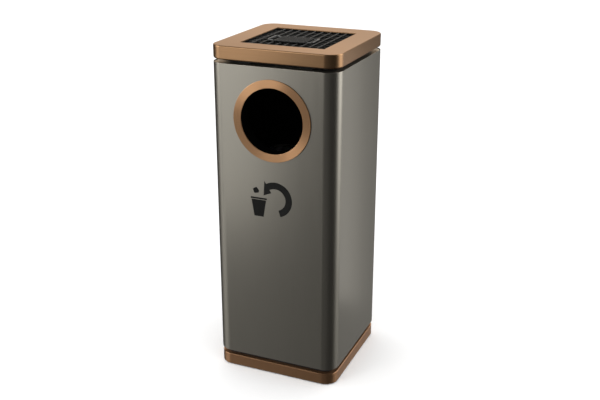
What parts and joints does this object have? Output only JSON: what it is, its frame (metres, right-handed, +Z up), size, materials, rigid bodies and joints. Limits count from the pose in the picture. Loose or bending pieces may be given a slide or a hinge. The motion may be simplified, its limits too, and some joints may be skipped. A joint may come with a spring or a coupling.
{
  "type": "ashtray bin",
  "caption": "Square free-standing litter bin with a round front opening, a lift-off lid with ash pan and wire grid, and a lift-out liner with a bail.",
  "frame": {"origin": "on the ground, at the centre of the footprint", "axes": "+Z up; -Y out of the front, where the litter opening is; +X to the right seen from the front"},
  "size_m": [0.25, 0.252, 0.6526],
  "materials": {
    "gunmetal_sheet": "satin vertical-brushed gunmetal",
    "copper_sheet": "satin brushed copper-coloured",
    "black_steel": "satin black powder coat",
    "galvanised": "galvanised",
    "zinc_fastener": "bright zinc plate",
    "rubber": "matt",
    "black_plastic": "matt moulded",
    "base_board": "bare fibreboard"
  },
  "bodies": {
    "casing": {"plinth": "copper_sheet", "base_board": "base_board", "spacer_board": "black_plastic", "casing_floor": "gunmetal_sheet", "liner_pad_left": "rubber", "liner_pad_right": "rubber", "casing_shell": "gunmetal_sheet", "casing_top_frame": "gunmetal_sheet", "opening_ring": "copper_sheet", "throat_sleeve": "black_plastic", "ring_clamp": "black_steel", "foot_1": "rubber", "foot_screw_1": "zinc_fastener", "base_bolt_1": "zinc_fastener", "ring_screw_1": "zinc_fastener", "foot_2": "rubber", "foot_screw_2": "zinc_fastener", "base_bolt_2": "zinc_fastener", "ring_screw_2": "zinc_fastener", "foot_3": "rubber", "foot_screw_3": "zinc_fastener", "base_bolt_3": "zinc_fastener", "ring_screw_3": "zinc_fastener", "foot_4": "rubber", "foot_screw_4": "zinc_fastener", "base_bolt_4": "zinc_fastener", "ring_screw_4": "zinc_fastener"},
    "lid": {"lid_cap": "copper_sheet", "lid_collar": "black_steel", "pan_frame": "black_steel", "frame_screw_1": "zinc_fastener", "frame_screw_2": "zinc_fastener", "frame_screw_3": "zinc_fastener", "frame_screw_4": "zinc_fastener", "lid_bumper_1": "rubber", "lid_bumper_2": "rubber", "lid_bumper_3": "rubber", "lid_bumper_4": "rubber"},
    "ash_pan_body": {"ash_pan": "black_steel"},
    "ash_grid_body": {"ash_grid": "black_steel", "stub_rest": "black_steel", "grid_loop_left": "zinc_fastener", "grid_loop_right": "zinc_fastener"},
    "liner": {"liner_bucket": "galvanised", "handle_ear_left": "zinc_fastener", "handle_ear_right": "zinc_fastener", "ear_rivet_1": "zinc_fastener", "ear_rivet_2": "zinc_fastener", "ear_rivet_3": "zinc_fastener", "ear_rivet_4": "zinc_fastener"},
    "bail_body": {"bail": "zinc_fastener", "bail_grip": "black_plastic"}
  },
  "joints": [
    {"name": "lid_lift", "type": "slide", "parent": "casing", "child": "lid", "axis": [0, 0, 1], "range_m": [0, 0.65]},
    {"name": "pan_lift", "type": "slide", "parent": "lid", "child": "ash_pan_body", "axis": [0, 0, 1], "range_m": [0, 0.08]},
    {"name": "grid_lift", "type": "slide", "parent": "ash_pan_body", "child": "ash_grid_body", "axis": [0, 0, 1], "range_m": [0, 0.06]},
    {"name": "liner_lift", "type": "slide", "parent": "casing", "child": "liner", "axis": [0, 0, 1], "range_m": [0, 0.58]},
    {"name": "bail_swing", "type": "hinge", "parent": "liner", "child": "bail_body", "pos_m": [0, 0, 0.41], "axis": [1, 0, 0], "range_deg": [0, 180]}
  ],
  "couplings": [
    {"joint": "liner_lift", "follows": "lid_lift", "ratio": 0.89}
  ]
}
